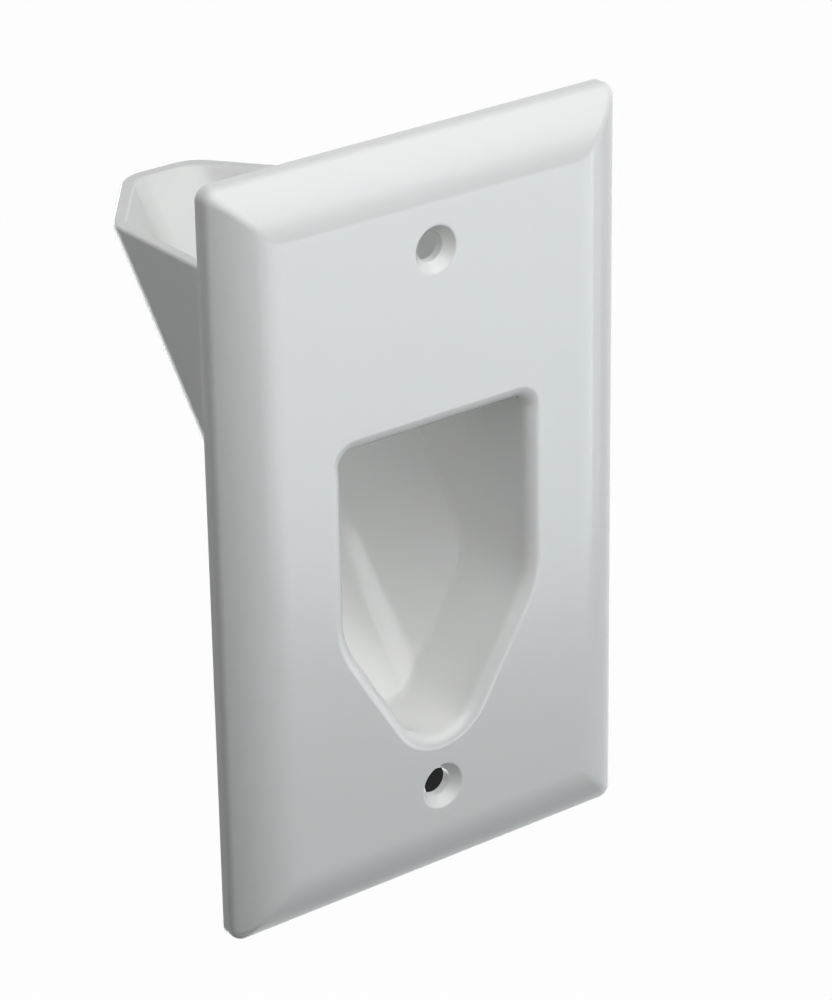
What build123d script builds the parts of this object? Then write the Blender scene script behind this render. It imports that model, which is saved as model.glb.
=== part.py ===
from build123d import *
import math
import os

# Recessed cable wall plate, moulded in one piece. Millimetres.
# X runs to the right, Y into the wall and Z up. Y = 0 is the wall surface, and the
# origin is the middle of the plate on that surface.

# Plate
plate_width = 69.85
plate_height = 114.3
plate_depth = 6.4  # wall surface to front face
plate_wall = 2.8
corner_radius = 2.0  # corners of the outline, seen from the front
roll_width = 9.2  # border that rolls from the flat face down to the side
side_height = 2.05  # upright side that stands on the wall
edge_radius = 1.95  # softened edge between the roll and the side

# Screw holes
screw_spacing = 83.34
screw_radius = 2.2
countersink_radius = 3.5
countersink_angle = 82
countersink_round = 0.4  # softened rim of the countersinks

# Front opening, measured on the walls behind its rounded lip
opening_width = 32.6
opening_top = 15.3  # ceiling, above the middle of the plate
shoulder_drop = 13.6  # where the sides turn inwards, below the middle of the plate
taper_angle = 31.7  # lower sides, from upright
ceiling_radius = 2.0
shoulder_radius = 13.0
tip_radius = 7.3
lip_radius = 2.0

# Scoop behind the opening, measured outside
scoop_wall = 2.1
rim_height = 34.2  # open rim, above the middle of the plate
rim_reach = 62.8  # wall surface to the back of the rim
foot_reach = 7.4  # wall surface to the back of the scoop at its foot
bevel_width = 12.3  # 45 degree bevels beside the flat back
bevel_radius = 7.5  # between the flat back and its bevels
back_radius = 4.1  # between the back and the walls behind the opening
rim_radius = 0.5

# Rolled border: an arc that leaves the face smoothly and meets the side
roll_height = plate_depth - side_height
roll_radius = (roll_width**2 + roll_height**2) / (2 * roll_height)

# Opening: the lower sides would meet at the apex, and the tip is rounded off above it
half_opening = opening_width / 2
taper = math.radians(taper_angle)
apex_drop = shoulder_drop + half_opening / math.tan(taper)
tip_drop = apex_drop - tip_radius * (1 / math.sin(taper) - 1)

# Scoop: it leans back from its foot to its rim
foot_drop = tip_drop + scoop_wall
lean = math.atan2(rim_reach - foot_reach, rim_height + foot_drop)
lean_axis = Axis((0, foot_reach, -foot_drop), (0, math.sin(lean), math.cos(lean)))
lean_plane = Plane(lean_axis.position, x_dir=(1, 0, 0), z_dir=lean_axis.direction)

face_plane = Plane.XZ.offset(plate_depth)
hollow_plane = Plane.XZ.offset(plate_depth - plate_wall)
mid_wall_plane = Plane.XZ.offset(plate_depth - plate_wall / 2)
side_plane = Plane((0, 0, 0), x_dir=(0, 0, 1), z_dir=(-1, 0, 0))
rim_plane = Plane.XY.offset(rim_height)
beyond = plate_height + rim_reach  # longer than any way through the part


def rolled_section(span, inset):
    """Section across the plate, or across its hollow back where inset is the wall."""
    side = span / 2 - inset
    arc_drop = math.sqrt((roll_radius - inset) ** 2 - (roll_width - inset) ** 2)
    with BuildSketch() as section:
        with BuildLine():
            face = Line((0, inset - plate_depth), (span / 2 - roll_width, inset - plate_depth))
            roll_end = (side, roll_radius - plate_depth - arc_drop)
            TangentArc(face @ 1, roll_end, tangent=face % 1)
            Polyline(roll_end, (side, 0), (0, 0), face @ 0)
        make_face()
        mirror(about=Plane.YZ)
    return section.sketch


def plate_section(span):
    """Outer section across the plate, with the edge between roll and side softened."""
    with BuildSketch() as section:
        add(rolled_section(span, 0))
        fillet(section.vertices().group_by(Axis.Y)[1], radius=edge_radius)
    return section.sketch


def opening_outline(top):
    """Front view of the opening up to a given height, with square upper corners."""
    with BuildSketch() as outline:
        with BuildLine():
            Polyline(
                (-half_opening, top),
                (-half_opening, -shoulder_drop),
                (0, -apex_drop),
                (half_opening, -shoulder_drop),
                (half_opening, top),
                close=True,
            )
        make_face()
        fillet(outline.vertices().group_by(Axis.Y)[1], radius=shoulder_radius)
        fillet(outline.vertices().group_by(Axis.Y)[0], radius=tip_radius)
    return outline.sketch


def back_section(inset):
    """Section square to the scoop's lean: a flat back between two bevels, open in front."""
    flat = half_opening + scoop_wall - bevel_width - inset * math.tan(math.radians(22.5))
    with BuildSketch() as section:
        with BuildLine():
            Polyline(
                (-flat, -inset),
                (flat, -inset),
                (flat + beyond, -inset - beyond),
                (-flat - beyond, -inset - beyond),
                close=True,
            )
        make_face()
        fillet(section.vertices().group_by(Axis.Y)[-1], radius=bevel_radius - inset)
    return section.sketch


def rear_loop(form):
    """Edges where the walls behind the opening run into the leaning back.

    A round on them runs on up the scoop's upright corners, which meet them smoothly.
    """
    edges = form.edges().filter_by(lean_axis, reverse=True).filter_by(Axis.Y, reverse=True)
    return edges.filter_by(Plane.XZ, reverse=True).filter_by(Plane.XY, reverse=True)


# Plate body: the same roll along all four sides, meeting in mitres, then round the corners
with BuildPart() as corners:
    with BuildSketch(Plane.XY.offset(plate_height / 2 - corner_radius)):
        add(plate_section(plate_width))
        with Locations((plate_width / 2 - corner_radius / 2, -plate_depth / 2)):
            Rectangle(corner_radius, plate_depth, mode=Mode.INTERSECT)
    corner_centre = (plate_width / 2 - corner_radius, 0, plate_height / 2 - corner_radius)
    revolve(axis=Axis(corner_centre, (0, -1, 0)), revolution_arc=90)
    mirror(about=Plane.YZ)
    mirror(about=Plane.XY)

with BuildPart() as body:
    with BuildSketch(Plane.XY):
        add(plate_section(plate_width))
    extrude(amount=plate_height / 2, both=True)
    with BuildSketch(side_plane):
        add(plate_section(plate_height))
    extrude(amount=plate_width / 2, both=True, mode=Mode.INTERSECT)
    with Locations(Plane.XZ):
        with GridLocations(plate_width - corner_radius, plate_height - corner_radius, 2, 2):
            Box(corner_radius, corner_radius, 2 * plate_depth, mode=Mode.SUBTRACT)
    add(corners.part)

# Hollow back of the plate, one wall inside the body
with BuildPart() as hollow:
    with BuildSketch(Plane.XY):
        add(rolled_section(plate_width, plate_wall))
    extrude(amount=plate_height / 2, both=True)
    with BuildSketch(side_plane):
        add(rolled_section(plate_height, plate_wall))
    extrude(amount=plate_width / 2, both=True, mode=Mode.INTERSECT)

# Outside of the scoop, from the middle of the face's wall to its leaning back
with BuildPart() as scoop:
    with BuildSketch(mid_wall_plane):
        add(opening_outline(rim_height + scoop_wall))
        offset(amount=scoop_wall, kind=Kind.INTERSECTION)
    extrude(amount=-beyond)
    with BuildSketch(lean_plane):
        add(back_section(0))
    extrude(amount=beyond, both=True, mode=Mode.INTERSECT)
    fillet(rear_loop(scoop), radius=back_radius)
    split(bisect_by=rim_plane, keep=Keep.BOTTOM)

# Inside of the scoop, open above its rim
with BuildPart() as passage:
    with BuildSketch(hollow_plane):
        add(opening_outline(rim_height + scoop_wall))
    extrude(amount=-beyond)
    with BuildSketch(lean_plane):
        add(back_section(scoop_wall))
    extrude(amount=beyond, both=True, mode=Mode.INTERSECT)
    fillet(rear_loop(passage), radius=back_radius - scoop_wall)

with BuildPart() as wall_plate:
    add(body.part)
    add(hollow.part, mode=Mode.SUBTRACT)
    add(scoop.part)
    add(passage.part, mode=Mode.SUBTRACT)

    # Opening through the face, with a rounded lip
    with BuildSketch(face_plane) as opening:
        add(opening_outline(opening_top))
        fillet(opening.vertices().group_by(Axis.Y)[-1], radius=ceiling_radius)
    extrude(amount=-plate_wall, mode=Mode.SUBTRACT)
    face = wall_plate.faces().sort_by(Axis.Y)[0]
    fillet(face.inner_wires().sort_by(SortBy.LENGTH)[-1].edges(), radius=lip_radius)

    # Open rim of the scoop, softened inside and out but not where it meets the plate
    rim = wall_plate.faces().filter_by(Axis.Z).sort_by(Axis.Y)[-1]
    fillet(rim.edges().sort_by(Axis.Y)[2:], radius=rim_radius)

    # Screw holes
    with Locations(face_plane):
        with GridLocations(0, screw_spacing, 1, 2):
            CounterSinkHole(screw_radius, countersink_radius, plate_depth, countersink_angle)
    face = wall_plate.faces().sort_by(Axis.Y)[0]
    countersink_rims = face.inner_wires().sort_by(SortBy.LENGTH)[:2]
    fillet([edge for rim in countersink_rims for edge in rim.edges()], radius=countersink_round)

wall_plate.part.label = "recessed_wall_plate"

os.makedirs("parts", exist_ok=True)
export_step(wall_plate.part, "parts/recessed_wall_plate.step")
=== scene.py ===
"""Recessed cable wall plate: the visible moulding, its camera and its studio."""

import logging
import math
from dataclasses import dataclass, field
from enum import Enum

import bmesh
import bpy
from mathutils import Matrix, Vector


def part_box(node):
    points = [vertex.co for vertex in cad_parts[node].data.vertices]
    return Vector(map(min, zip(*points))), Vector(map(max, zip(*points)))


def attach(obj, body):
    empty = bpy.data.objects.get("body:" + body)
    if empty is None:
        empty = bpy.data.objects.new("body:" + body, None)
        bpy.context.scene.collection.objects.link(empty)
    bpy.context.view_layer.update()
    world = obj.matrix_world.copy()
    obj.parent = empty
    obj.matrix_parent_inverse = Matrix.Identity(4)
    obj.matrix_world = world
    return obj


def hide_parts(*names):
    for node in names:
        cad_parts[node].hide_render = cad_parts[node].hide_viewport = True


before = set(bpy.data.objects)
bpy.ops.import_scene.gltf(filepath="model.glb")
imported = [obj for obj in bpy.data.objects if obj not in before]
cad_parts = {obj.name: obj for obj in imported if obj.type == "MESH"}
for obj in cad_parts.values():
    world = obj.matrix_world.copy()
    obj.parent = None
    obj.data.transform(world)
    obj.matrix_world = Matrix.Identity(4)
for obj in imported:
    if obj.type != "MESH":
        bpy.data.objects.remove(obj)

LOG = logging.getLogger("wall_plate")


class Body(Enum):
    """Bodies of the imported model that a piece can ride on."""

    ROOT = "root"


class Slot(Enum):
    """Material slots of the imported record."""

    WHITE_PLASTIC = "white_plastic"


class Mark(Enum):
    """Attributes that carry values through the modelling, and are removed at its end."""

    CAD_NORMAL = "cad_normal"
    BORDER_NORMAL = "border_normal"
    COLUMN = "column"


@dataclass(frozen=True)
class MouldedPlastic:
    """White moulded plastic with a soft gloss, a faint orange peel and a fine grain.

    Attributes:
        name: Name of the material.
        pale: Lighter of the two tones that drift over the surface.
        deep: Darker of the two tones.
        drift_scale: Noise scale of the tones, per metre.
        drift_detail: Finer layers in the noise of the tones.
        gloss: Roughness where the mould was polished best.
        dull: Roughness where it was polished least.
        gloss_scale: Noise scale of the polish, per metre.
        gloss_detail: Finer layers in the noise of the polish.
        peel_scale: Noise scale of the orange peel, per metre.
        peel_height: Height of the orange peel in metres.
        grain_scale: Noise scale of the grain, per metre.
        grain_height: Height of the grain in metres.
        relief_detail: Finer layers in the noise of the orange peel and of the grain.
        index: Index of refraction.
        milk: Share of the light that enters the plastic and spreads inside it.
        milk_depth: How far that light spreads, in metres.
        milk_reach: Reach of red, green and blue within that depth.
    """

    name: str = "white_plastic"
    pale: tuple[float, float, float] = (0.868, 0.867, 0.85)
    deep: tuple[float, float, float] = (0.853, 0.853, 0.836)
    drift_scale: float = 45.0
    drift_detail: float = 3.0
    gloss: float = 0.11
    dull: float = 0.16
    gloss_scale: float = 160.0
    gloss_detail: float = 4.0
    peel_scale: float = 480.0
    peel_height: float = 0.000004
    grain_scale: float = 5200.0
    grain_height: float = 0.000001
    relief_detail: float = 2.0
    index: float = 1.5
    milk: float = 0.5
    milk_depth: float = 0.0006
    milk_reach: tuple[float, float, float] = (1.0, 0.92, 0.84)

    def material(self) -> bpy.types.Material:
        """Builds the material.

        Returns:
            The new material, with its nodes linked.
        """
        material = bpy.data.materials.new(self.name)
        material.use_nodes = True
        tree = material.node_tree
        shader = tree.nodes["Principled BSDF"]
        shader.inputs["IOR"].default_value = self.index
        shader.inputs["Subsurface Weight"].default_value = self.milk
        shader.inputs["Subsurface Scale"].default_value = self.milk_depth
        shader.inputs["Subsurface Radius"].default_value = self.milk_reach
        place = tree.nodes.new("ShaderNodeTexCoord").outputs["Object"]

        tone = tree.nodes.new("ShaderNodeValToRGB")
        tone.color_ramp.elements[0].color = (*self.deep, 1.0)
        tone.color_ramp.elements[1].color = (*self.pale, 1.0)
        drift = self.noise(tree, place, self.drift_scale, self.drift_detail)
        tree.links.new(drift, tone.inputs["Fac"])
        tree.links.new(tone.outputs["Color"], shader.inputs["Base Color"])

        polish = tree.nodes.new("ShaderNodeMapRange")
        polish.inputs["To Min"].default_value = self.gloss
        polish.inputs["To Max"].default_value = self.dull
        wear = self.noise(tree, place, self.gloss_scale, self.gloss_detail)
        tree.links.new(wear, polish.inputs["Value"])
        tree.links.new(polish.outputs["Result"], shader.inputs["Roughness"])

        waves = self.noise(tree, place, self.peel_scale, self.relief_detail)
        peel = self.bump(tree, waves, self.peel_height)
        specks = self.noise(tree, place, self.grain_scale, self.relief_detail)
        grain = self.bump(tree, specks, self.grain_height)
        tree.links.new(peel.outputs["Normal"], grain.inputs["Normal"])
        tree.links.new(grain.outputs["Normal"], shader.inputs["Normal"])
        return material

    @staticmethod
    def noise(
        tree: bpy.types.NodeTree, place: bpy.types.NodeSocket, scale: float, detail: float
    ) -> bpy.types.NodeSocket:
        """Adds a noise pattern.

        Args:
            tree: Node tree of the material.
            place: Socket that gives the place on the piece.
            scale: Scale of the noise, per metre.
            detail: Number of finer layers in the noise.

        Returns:
            The socket of the noise's value.
        """
        pattern = tree.nodes.new("ShaderNodeTexNoise")
        pattern.inputs["Scale"].default_value = scale
        pattern.inputs["Detail"].default_value = detail
        tree.links.new(place, pattern.inputs["Vector"])
        return pattern.outputs["Fac"]

    @staticmethod
    def bump(
        tree: bpy.types.NodeTree, height: bpy.types.NodeSocket, distance: float
    ) -> bpy.types.Node:
        """Adds a bump from a pattern.

        Args:
            tree: Node tree of the material.
            height: Socket of the pattern's value.
            distance: Height of the bump in metres.

        Returns:
            The bump node.
        """
        relief = tree.nodes.new("ShaderNodeBump")
        relief.inputs["Distance"].default_value = distance
        tree.links.new(height, relief.inputs["Height"])
        return relief


def seen_rays(tree: bpy.types.NodeTree) -> bpy.types.NodeSocket:
    """Adds a test for the rays that show a background.

    Args:
        tree: Node tree of a material or of the world.

    Returns:
        A socket that is 1 for camera, glossy and transmission rays, and 0 for others.
    """
    path = tree.nodes.new("ShaderNodeLightPath")
    total = path.outputs["Is Camera Ray"]
    for kind in ("Is Glossy Ray", "Is Transmission Ray"):
        either = tree.nodes.new("ShaderNodeMath")
        either.operation = "MAXIMUM"
        tree.links.new(total, either.inputs[0])
        tree.links.new(path.outputs[kind], either.inputs[1])
        total = either.outputs["Value"]
    return total


@dataclass(frozen=True)
class StudioSurface:
    """Matt surface of the stage that is seen at a set brightness.

    Attributes:
        name: Name of the material.
        tone: Matt colour, which lights the rest of the scene.
        glow: Brightness that is seen: 1 is the white of the background.
        shadow: Share of the matt surface that is seen, which keeps shadows.
    """

    name: str
    tone: tuple[float, float, float]
    glow: float
    shadow: float

    def material(self) -> bpy.types.Material:
        """Builds the material.

        Returns:
            The new material, with its nodes linked.
        """
        material = bpy.data.materials.new(self.name)
        material.use_nodes = True
        tree = material.node_tree
        tree.nodes.remove(tree.nodes["Principled BSDF"])
        output = tree.nodes["Material Output"]

        matt = tree.nodes.new("ShaderNodeBsdfDiffuse")
        matt.inputs["Color"].default_value = (*self.tone, 1.0)
        shine = tree.nodes.new("ShaderNodeEmission")
        shine.inputs["Strength"].default_value = self.glow
        shaded = tree.nodes.new("ShaderNodeMixShader")
        shaded.inputs["Fac"].default_value = self.shadow
        tree.links.new(shine.outputs["Emission"], shaded.inputs[1])
        tree.links.new(matt.outputs["BSDF"], shaded.inputs[2])

        choice = tree.nodes.new("ShaderNodeMixShader")
        tree.links.new(seen_rays(tree), choice.inputs["Fac"])
        tree.links.new(matt.outputs["BSDF"], choice.inputs[1])
        tree.links.new(shaded.outputs["Shader"], choice.inputs[2])
        tree.links.new(choice.outputs["Shader"], output.inputs["Surface"])
        return material


@dataclass(frozen=True)
class Level:
    """One line round the border, parallel to the outline.

    Attributes:
        inset: Distance in from the outline, in metres.
        depth: Place along Y, in the frame of the part.
        tilt: Angle of the surface's normal from straight ahead.
    """

    inset: float
    depth: float
    tilt: float


@dataclass(frozen=True)
class RolledBorder:
    """Border of the plate: an upright side, a soft edge, and a roll up to the flat face.

    Attributes:
        face_depth: Wall surface to the flat face, in metres.
        roll_width: Width of the roll.
        side_height: Height of the side, up to where the roll would meet it.
        edge_radius: Round between the side and the roll.
        corner_radius: Corners of the outline.
        mitre_radius: Round along the mitres where the rolls of two sides meet.
        mitre_fade: Power by which that round fades out at the flat face.
        edge_steps: Faces across the edge's round.
        roll_steps: Faces across the roll.
        slope_parts: Parts of the roll's width, over one of which a slope is measured.
    """

    face_depth: float = 0.0064
    roll_width: float = 0.0092
    side_height: float = 0.00205
    edge_radius: float = 0.00195
    corner_radius: float = 0.002
    mitre_radius: float = 0.0007
    mitre_fade: int = 6
    edge_steps: int = 8
    roll_steps: int = 24
    slope_parts: int = 10000

    def levels(self) -> list[Level]:
        """Lists the lines round the border, from the wall to the flat face.

        Returns:
            The levels in order, the first on the wall.
        """
        rise = self.face_depth - self.side_height
        radius = (self.roll_width**2 + rise**2) / (2 * rise)
        inner = radius - self.edge_radius
        joint = math.asin((self.roll_width - self.edge_radius) / inner)
        roll_middle = radius - self.face_depth
        edge_middle = roll_middle - inner * math.cos(joint)
        upright = math.pi / 2
        found = [Level(0.0, 0.0, upright)]
        for step in range(self.edge_steps):
            tilt = upright + (joint - upright) * step / self.edge_steps
            inset = self.edge_radius * (1 - math.sin(tilt))
            found.append(Level(inset, edge_middle - self.edge_radius * math.cos(tilt), tilt))
        for step in range(self.roll_steps + 1):
            tilt = joint * (1 - step / self.roll_steps)
            inset = self.roll_width - radius * math.sin(tilt)
            found.append(Level(inset, roll_middle - radius * math.cos(tilt), tilt))
        return found

    def corner_round(self, inset: float) -> float:
        """Gives the radius of a level's corners, seen from the front.

        Args:
            inset: Inset of the level from the outline.

        Returns:
            The outline's corner radius, easing to the mitre's and fading out at the face.
        """
        spare = self.corner_radius - self.mitre_radius
        eased = self.mitre_radius + spare * math.exp(-inset / spare)
        return eased * (1 - min(inset / self.roll_width, 1.0) ** self.mitre_fade)

    def point(self, level: Level, turn: float, sides: Vector) -> tuple[Vector, Vector]:
        """Places one point of a level's corner.

        Args:
            level: The level.
            turn: Angle round the corner: 0 faces along X, a right angle along Z.
            sides: Half sizes of the plate along X and Z, with the corner's signs.

        Returns:
            The point and the surface's normal there.
        """
        reach = self.corner_round(level.inset)
        step = self.roll_width / self.slope_parts
        change = (self.corner_round(level.inset + step) - reach) / step
        inward = (1 + change) * (math.cos(turn) + math.sin(turn)) - change
        way_x = math.copysign(math.cos(turn), sides.x)
        way_z = math.copysign(math.sin(turn), sides.y)
        way = Vector((way_x, way_z))
        middle = Vector((abs(sides.x), abs(sides.y))) - Vector((1, 1)) * (level.inset + reach)
        middle_x = math.copysign(middle.x, sides.x)
        middle_z = math.copysign(middle.y, sides.y)
        place = Vector((middle_x, middle_z)) + way * reach
        out = way * math.sin(level.tilt)
        normal = Vector((out.x, -inward * math.cos(level.tilt), out.y))
        return Vector((place.x, level.depth, place.y)), normal.normalized()


@dataclass
class WallPlate:
    """The plate, its opening and the scoop behind it, moulded as one piece.

    Attributes:
        node: CAD node that the piece stands for.
        name: Name of the piece.
        finish: Plastic that the piece is moulded in.
        border: The plate's border, which is modelled anew with softened mitres.
        merge_gap: Vertices this close are one, in metres.
        least_lean: Share of a normal from which a face looks forwards or outwards.
        most_back: Share of a normal towards the wall that a face of the border stays under.
        shape: The piece's object, once it is built.
    """

    node: str = "recessed_wall_plate"
    name: str = "wall_plate_moulding"
    finish: MouldedPlastic = field(default_factory=MouldedPlastic)
    border: RolledBorder = field(default_factory=RolledBorder)
    merge_gap: float = 0.000005
    least_lean: float = 0.1
    most_back: float = 0.5
    shape: bpy.types.Object | None = None

    def build(self) -> bpy.types.Object:
        """Builds and dresses the piece.

        Returns:
            The finished object.
        """
        self.copy_node()
        self.open_border()
        self.close_border()
        self.set_normals()
        self.dress()
        return self.shape

    def copy_node(self) -> None:
        """Copies the CAD node's mesh to a new object, and keeps its normals by corner."""
        bpy.ops.object.select_all(action="DESELECT")
        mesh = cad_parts[self.node].data.copy()
        mesh.name = self.name
        mesh.materials.clear()
        self.shape = bpy.data.objects.new(self.name, mesh)
        bpy.context.scene.collection.objects.link(self.shape)
        self.shape.select_set(True)
        bpy.context.view_layer.objects.active = self.shape
        normals = [value for corner in mesh.corner_normals for value in corner.vector]
        mesh.attributes.new(Mark.CAD_NORMAL.value, "FLOAT_VECTOR", "CORNER")
        mesh.attributes[Mark.CAD_NORMAL.value].data.foreach_set("vector", normals)
        bpy.ops.mesh.customdata_custom_splitnormals_clear()

    def open_border(self) -> None:
        """Takes off the copy's border, and joins the loose triangles of the rest."""
        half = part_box(self.node)[1]
        mesh = self.shape.data
        bpy.ops.object.mode_set(mode="EDIT")
        bpy.ops.mesh.select_mode(type="FACE")
        bpy.ops.mesh.select_all(action="DESELECT")
        bpy.ops.object.mode_set(mode="OBJECT")
        for face in mesh.polygons:
            face.select = self.on_border(face.center, face.normal, half)
        bpy.ops.object.mode_set(mode="EDIT")
        bpy.ops.mesh.delete(type="FACE")
        bpy.ops.mesh.select_all(action="SELECT")
        bpy.ops.mesh.remove_doubles(threshold=self.merge_gap)
        bpy.ops.mesh.delete_loose()
        bpy.ops.object.mode_set(mode="OBJECT")

    def on_border(self, centre: Vector, normal: Vector, half: Vector) -> bool:
        """Tells whether a face belongs to the outside of the border.

        Args:
            centre: Middle of the face.
            normal: Its normal.
            half: Highest corner of the part.

        Returns:
            True for a face of the side, the edge or the roll.
        """
        inset_x = half.x - abs(centre.x)
        inset_z = half.z - abs(centre.z)
        if min(inset_x, inset_z) > self.border.roll_width:
            return False
        outward_x = math.copysign(normal.x, normal.x * centre.x)
        outward_z = math.copysign(normal.z, normal.z * centre.z)
        forwards = normal.y < -self.least_lean
        outwards = max(outward_x, outward_z) > self.least_lean
        return forwards or (outwards and normal.y < self.most_back)

    def close_border(self) -> None:
        """Extrudes the outline on the wall, level by level, up to the flat face."""
        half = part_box(self.node)[1]
        mesh = self.shape.data
        mesh.attributes.new(Mark.COLUMN.value, "INT", "POINT")
        mesh.attributes.new(Mark.BORDER_NORMAL.value, "FLOAT_VECTOR", "POINT")
        bpy.ops.object.mode_set(mode="EDIT")
        bpy.ops.mesh.select_mode(type="EDGE")
        bpy.ops.mesh.select_all(action="DESELECT")
        shell = bmesh.from_edit_mesh(mesh)
        for edge in shell.edges:
            on_wall = all(abs(end.co.y) < self.merge_gap for end in edge.verts)
            edge.select_set(edge.is_boundary and on_wall)
        column = shell.verts.layers.int[Mark.COLUMN.value]
        corners = []
        for number, vertex in enumerate(end for end in shell.verts if end.select):
            sides = Vector((math.copysign(half.x, vertex.co.x), math.copysign(half.z, vertex.co.z)))
            spare = Vector((half.x - abs(vertex.co.x), half.z - abs(vertex.co.z)))
            reach = self.border.corner_radius
            corners.append((math.atan2(reach - spare.y, reach - spare.x), sides))
            vertex[column] = number
        bmesh.update_edit_mesh(mesh)
        for number, level in enumerate(self.border.levels()):
            if number > 0:
                bpy.ops.mesh.extrude_edges_indiv()
            self.place_level(level, corners)
        bpy.ops.mesh.select_all(action="SELECT")
        bpy.ops.mesh.remove_doubles(threshold=self.merge_gap)
        bpy.ops.mesh.normals_make_consistent(inside=False)
        bpy.ops.object.mode_set(mode="OBJECT")

    def place_level(self, level: Level, corners: list[tuple[float, Vector]]) -> None:
        """Moves the selected line of vertices to its level.

        Args:
            level: The level.
            corners: The turn and the signed half sizes of each column of vertices.
        """
        mesh = self.shape.data
        shell = bmesh.from_edit_mesh(mesh)
        column = shell.verts.layers.int[Mark.COLUMN.value]
        normal = shell.verts.layers.float_vector[Mark.BORDER_NORMAL.value]
        for vertex in shell.verts:
            if vertex.select:
                vertex.co, vertex[normal] = self.border.point(level, *corners[vertex[column]])
        bmesh.update_edit_mesh(mesh)

    def set_normals(self) -> None:
        """Shades the piece smooth, with exact normals on the border and the CAD's elsewhere."""
        mesh = self.shape.data
        bpy.ops.object.shade_smooth()
        kept = mesh.attributes[Mark.CAD_NORMAL.value].data
        made = mesh.attributes[Mark.BORDER_NORMAL.value].data
        normals = [Vector() for _ in mesh.loops]
        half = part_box(self.node)[1]
        for face in mesh.polygons:
            new = self.on_border(face.center, face.normal, half)
            for loop in face.loop_indices:
                source = made[mesh.loops[loop].vertex_index] if new else kept[loop]
                normals[loop] = Vector(source.vector)
        mesh.normals_split_custom_set(normals)
        for mark in Mark:
            mesh.attributes.remove(mesh.attributes[mark.value])

    def dress(self) -> None:
        """Gives the piece its plastic, and lets it stand for the CAD node."""
        self.shape.data.materials.append(self.finish.material())
        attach(self.shape, Body.ROOT.value)
        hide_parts(self.node)


@dataclass(frozen=True)
class Softbox:
    """A square or oblong soft lamp that faces the plate.

    Attributes:
        name: Name of the lamp.
        azimuth: Direction of the lamp round the plate: 0 is in front, 90 to the right.
        elevation: Direction of the lamp above the level.
        distance: Distance from the middle of the plate, in metres.
        width: Width of the lamp in metres.
        height: Height of the lamp in metres.
        power: Power in watts.
        tint: Colour of its light.
    """

    name: str
    azimuth: float
    elevation: float
    distance: float
    width: float
    height: float
    power: float
    tint: tuple[float, float, float]

    def build(self) -> bpy.types.Object:
        """Adds the lamp.

        Returns:
            The lamp's object.
        """
        back = direction(math.radians(self.azimuth), math.radians(self.elevation))
        bpy.ops.object.light_add(type="AREA", location=back * self.distance)
        lamp = bpy.context.object
        lamp.name = self.name
        lamp.rotation_euler = back.to_track_quat("Z", "Y").to_euler()
        lamp.data.shape = "RECTANGLE"
        lamp.data.size = self.width
        lamp.data.size_y = self.height
        lamp.data.energy = self.power
        lamp.data.color = self.tint
        lamp.visible_camera = False
        return lamp


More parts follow.
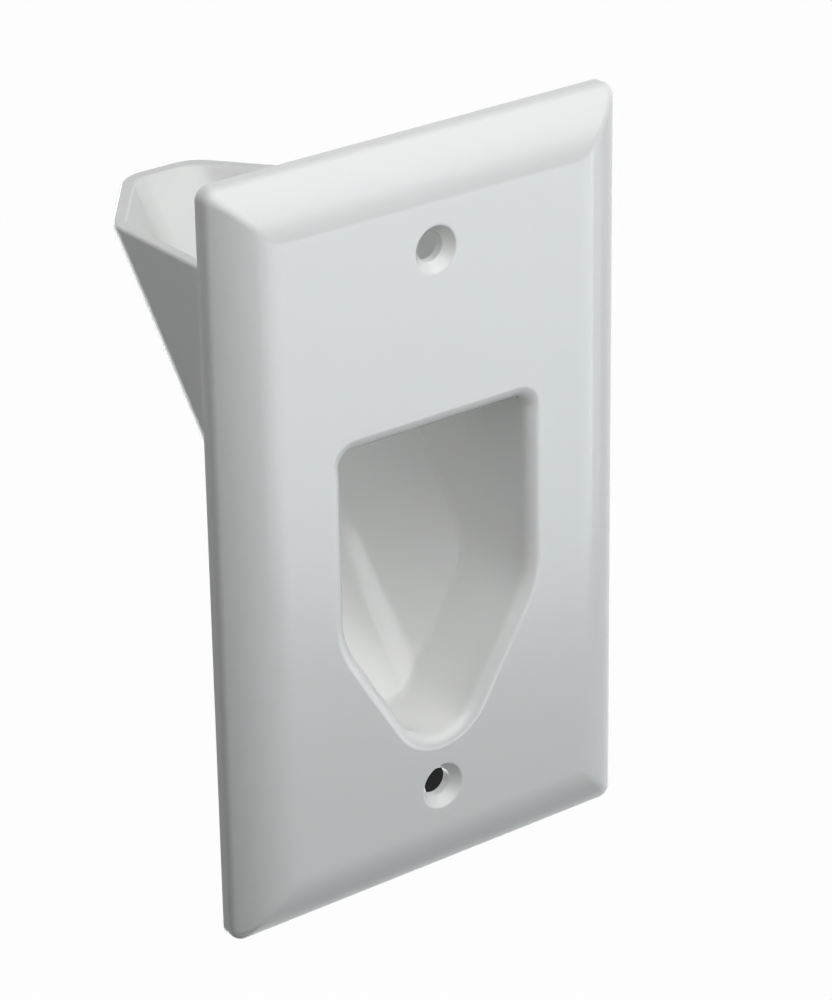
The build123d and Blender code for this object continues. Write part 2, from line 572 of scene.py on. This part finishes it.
@dataclass
class Studio:
    """White floor and surroundings with soft lamps, and a card of painted shade far behind the
    lower screw hole.

    Attributes:
        white: Finish of the floor.
        floor_size: Side of the floor in metres.
        floor_level: Height of the floor, in the frame of the part.
        painted_shade: Finish of the card, whose fixed dim glow is painted shade for the lower screw
            hole.
        card_size: Side of the card in metres.
        hole: Middle of the lower screw hole, through which the card is seen.
        card_distance: How far the card stands beyond the hole, on the camera's line of sight.
        backdrop: Colour of the surroundings where they are seen.
        fill: Colour of the even light from all round.
        fill_strength: Strength of that light.
        lamps: The soft lamps.
    """

    white: StudioSurface = StudioSurface("studio_white", (0.3, 0.3, 0.3), 1.0, 0.015)
    floor_size: float = 60.0
    floor_level: float = -3.0
    # Painted shade: a fixed dim glow on a card, seen through the lower screw hole in place of the
    # shade behind the plate.
    painted_shade: StudioSurface = StudioSurface("studio_painted_shade", (0.02, 0.02, 0.02), 0.021, 0.0)
    card_size: float = 0.07
    hole: tuple[float, float, float] = (0.0, -0.0042, -0.04167)
    card_distance: float = 5.8
    backdrop: tuple[float, float, float] = (1.0, 1.0, 1.0)
    fill: tuple[float, float, float] = (1.0, 1.0, 1.0)
    fill_strength: float = 0.005
    lamps: tuple[Softbox, ...] = (
        Softbox("front_softbox", 38.0, -20.0, 1.2, 1.0, 0.3, 2.5, (0.91, 1.0, 1.045)),
        Softbox("front_left_softbox", 7.0, -19.0, 1.2, 0.28, 0.3, 0.36, (0.915, 1.0, 1.04)),
        Softbox("front_right_softbox", 70.0, -17.0, 1.2, 0.4, 0.36, 0.4, (0.915, 1.0, 1.04)),
        Softbox("near_softbox", 10.0, 50.0, 0.35, 0.5, 0.5, 0.95, (0.98, 1.0, 1.01)),
        Softbox("left_softbox", -40.0, 55.0, 0.4, 0.5, 0.5, 0.57, (0.985, 0.995, 1.02)),
        Softbox("right_softbox", 45.0, 50.0, 0.45, 0.5, 0.5, 0.18, (1.0, 1.0, 0.99)),
        Softbox("rear_left_softbox", -115.0, 18.0, 1.2, 0.8, 0.8, 0.3, (0.89, 1.0, 1.03)),
        Softbox("rear_right_softbox", 108.0, 8.0, 1.2, 0.8, 0.8, 0.9, (0.96, 1.0, 1.03)),
        Softbox("rear_softbox", 180.0, 2.0, 1.2, 0.8, 0.8, 5.0, (0.96, 1.0, 1.03)),
        Softbox("rear_low_softbox", 182.0, -42.0, 1.2, 0.8, 0.8, 2.8, (0.96, 1.0, 1.03)),
    )

    def build(self, eye: Vector) -> list[bpy.types.Object]:
        """Builds the floor, the card, the world and the lamps.

        Args:
            eye: Place of the photograph's camera.

        Returns:
            The objects added.
        """
        self.build_world()
        return [self.build_floor(), self.build_painted_shade_card(eye), *(lamp.build() for lamp in self.lamps)]

    def build_floor(self) -> bpy.types.Object:
        """Adds the floor.

        Returns:
            The floor's object.
        """
        bpy.ops.object.select_all(action="DESELECT")
        middle = (0.0, 0.0, self.floor_level)
        bpy.ops.mesh.primitive_plane_add(size=self.floor_size, location=middle)
        bpy.ops.object.transform_apply(location=True)
        floor = bpy.context.object
        floor.name = "studio_floor"
        floor.data.materials.append(self.white.material())
        return floor

    def build_painted_shade_card(self, eye: Vector) -> bpy.types.Object:
        """Adds the card, facing the camera: painted shade for the lower screw hole.

        Args:
            eye: Place of the photograph's camera.

        Returns:
            The card's object.
        """
        # The card stands on the camera's line of sight through the lower screw hole, so that the
        # hole shows painted shade.
        sight = (Vector(self.hole) - eye).normalized()
        bpy.ops.object.select_all(action="DESELECT")
        bpy.ops.mesh.primitive_plane_add(
            size=self.card_size,
            location=Vector(self.hole) + sight * self.card_distance,
            rotation=sight.to_track_quat("-Z", "Y").to_euler(),
        )
        bpy.ops.object.transform_apply(location=True, rotation=True)
        card = bpy.context.object
        card.name = "painted_shade_card"
        card.data.materials.append(self.painted_shade.material())
        return card

    def build_world(self) -> None:
        """Makes the surroundings: white where they are seen, and an even fill light."""
        world = bpy.data.worlds.new("studio_surroundings")
        bpy.context.scene.world = world
        world.use_nodes = True
        tree = world.node_tree
        fill = tree.nodes["Background"]
        fill.inputs["Color"].default_value = (*self.fill, 1.0)
        fill.inputs["Strength"].default_value = self.fill_strength
        white = tree.nodes.new("ShaderNodeBackground")
        white.inputs["Color"].default_value = (*self.backdrop, 1.0)
        choice = tree.nodes.new("ShaderNodeMixShader")
        tree.links.new(seen_rays(tree), choice.inputs["Fac"])
        tree.links.new(fill.outputs["Background"], choice.inputs[1])
        tree.links.new(white.outputs["Background"], choice.inputs[2])
        tree.links.new(choice.outputs["Shader"], tree.nodes["World Output"].inputs["Surface"])


@dataclass(frozen=True)
class PhotoCamera:
    """Camera at the photograph's viewing angle.

    Attributes:
        azimuth: Direction of the camera round the plate: 0 is in front, 90 to the right.
        elevation: Direction of the camera above the level.
        roll: Turn of the camera about its own axis.
        distance: Distance from the plate in metres.
        right: Step of the camera to its right, in metres.
        up: Step of the camera upwards, in metres.
        lens: Focal length in millimetres.
        sensor: Longer side of the sensor in millimetres.
    """

    azimuth: float = math.radians(-36.9993)
    elevation: float = math.radians(24.9905)
    roll: float = math.radians(-0.9034)
    distance: float = 0.564477
    right: float = 0.000545
    up: float = 0.001555
    lens: float = 143.267
    sensor: float = 36.0

    def build(self) -> bpy.types.Object:
        """Adds the camera and makes it the scene's own.

        Returns:
            The camera's object.
        """
        back = direction(self.azimuth, self.elevation)
        level = Vector((math.cos(self.azimuth), math.sin(self.azimuth), 0.0))
        upright = back.cross(level)
        across = level * math.cos(self.roll) + upright * math.sin(self.roll)
        upward = upright * math.cos(self.roll) - level * math.sin(self.roll)
        eye = back * self.distance + across * self.right + upward * self.up
        bpy.ops.object.camera_add()
        camera = bpy.context.object
        camera.name = "photo_camera"
        turn = Matrix((across, upward, back)).transposed().to_4x4()
        camera.matrix_world = Matrix.Translation(eye) @ turn
        camera.data.sensor_width = self.sensor
        camera.data.lens = self.lens
        bpy.context.scene.camera = camera
        return camera


def direction(azimuth: float, elevation: float) -> Vector:
    """Gives a direction from the plate out into the room.

    Args:
        azimuth: Angle round the plate in radians: 0 is in front, a right angle to the right.
        elevation: Angle above the level in radians.

    Returns:
        A vector of length 1.
    """
    level = math.cos(elevation)
    return Vector((math.sin(azimuth) * level, -math.cos(azimuth) * level, math.sin(elevation)))


def main() -> None:
    """Builds the plate, its studio and its camera."""
    logging.basicConfig(level=logging.INFO, format="%(name)s: %(message)s")
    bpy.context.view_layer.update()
    plate = WallPlate().build()
    LOG.info("%s: %d faces", plate.name, len(plate.data.polygons))
    camera = PhotoCamera().build()
    LOG.info("%s", camera.name)
    for item in Studio().build(camera.matrix_world.translation):
        LOG.info("%s", item.name)
    bpy.context.scene.view_settings.view_transform = "Standard"
    bpy.context.view_layer.update()


if __name__ == "__main__":
    main()
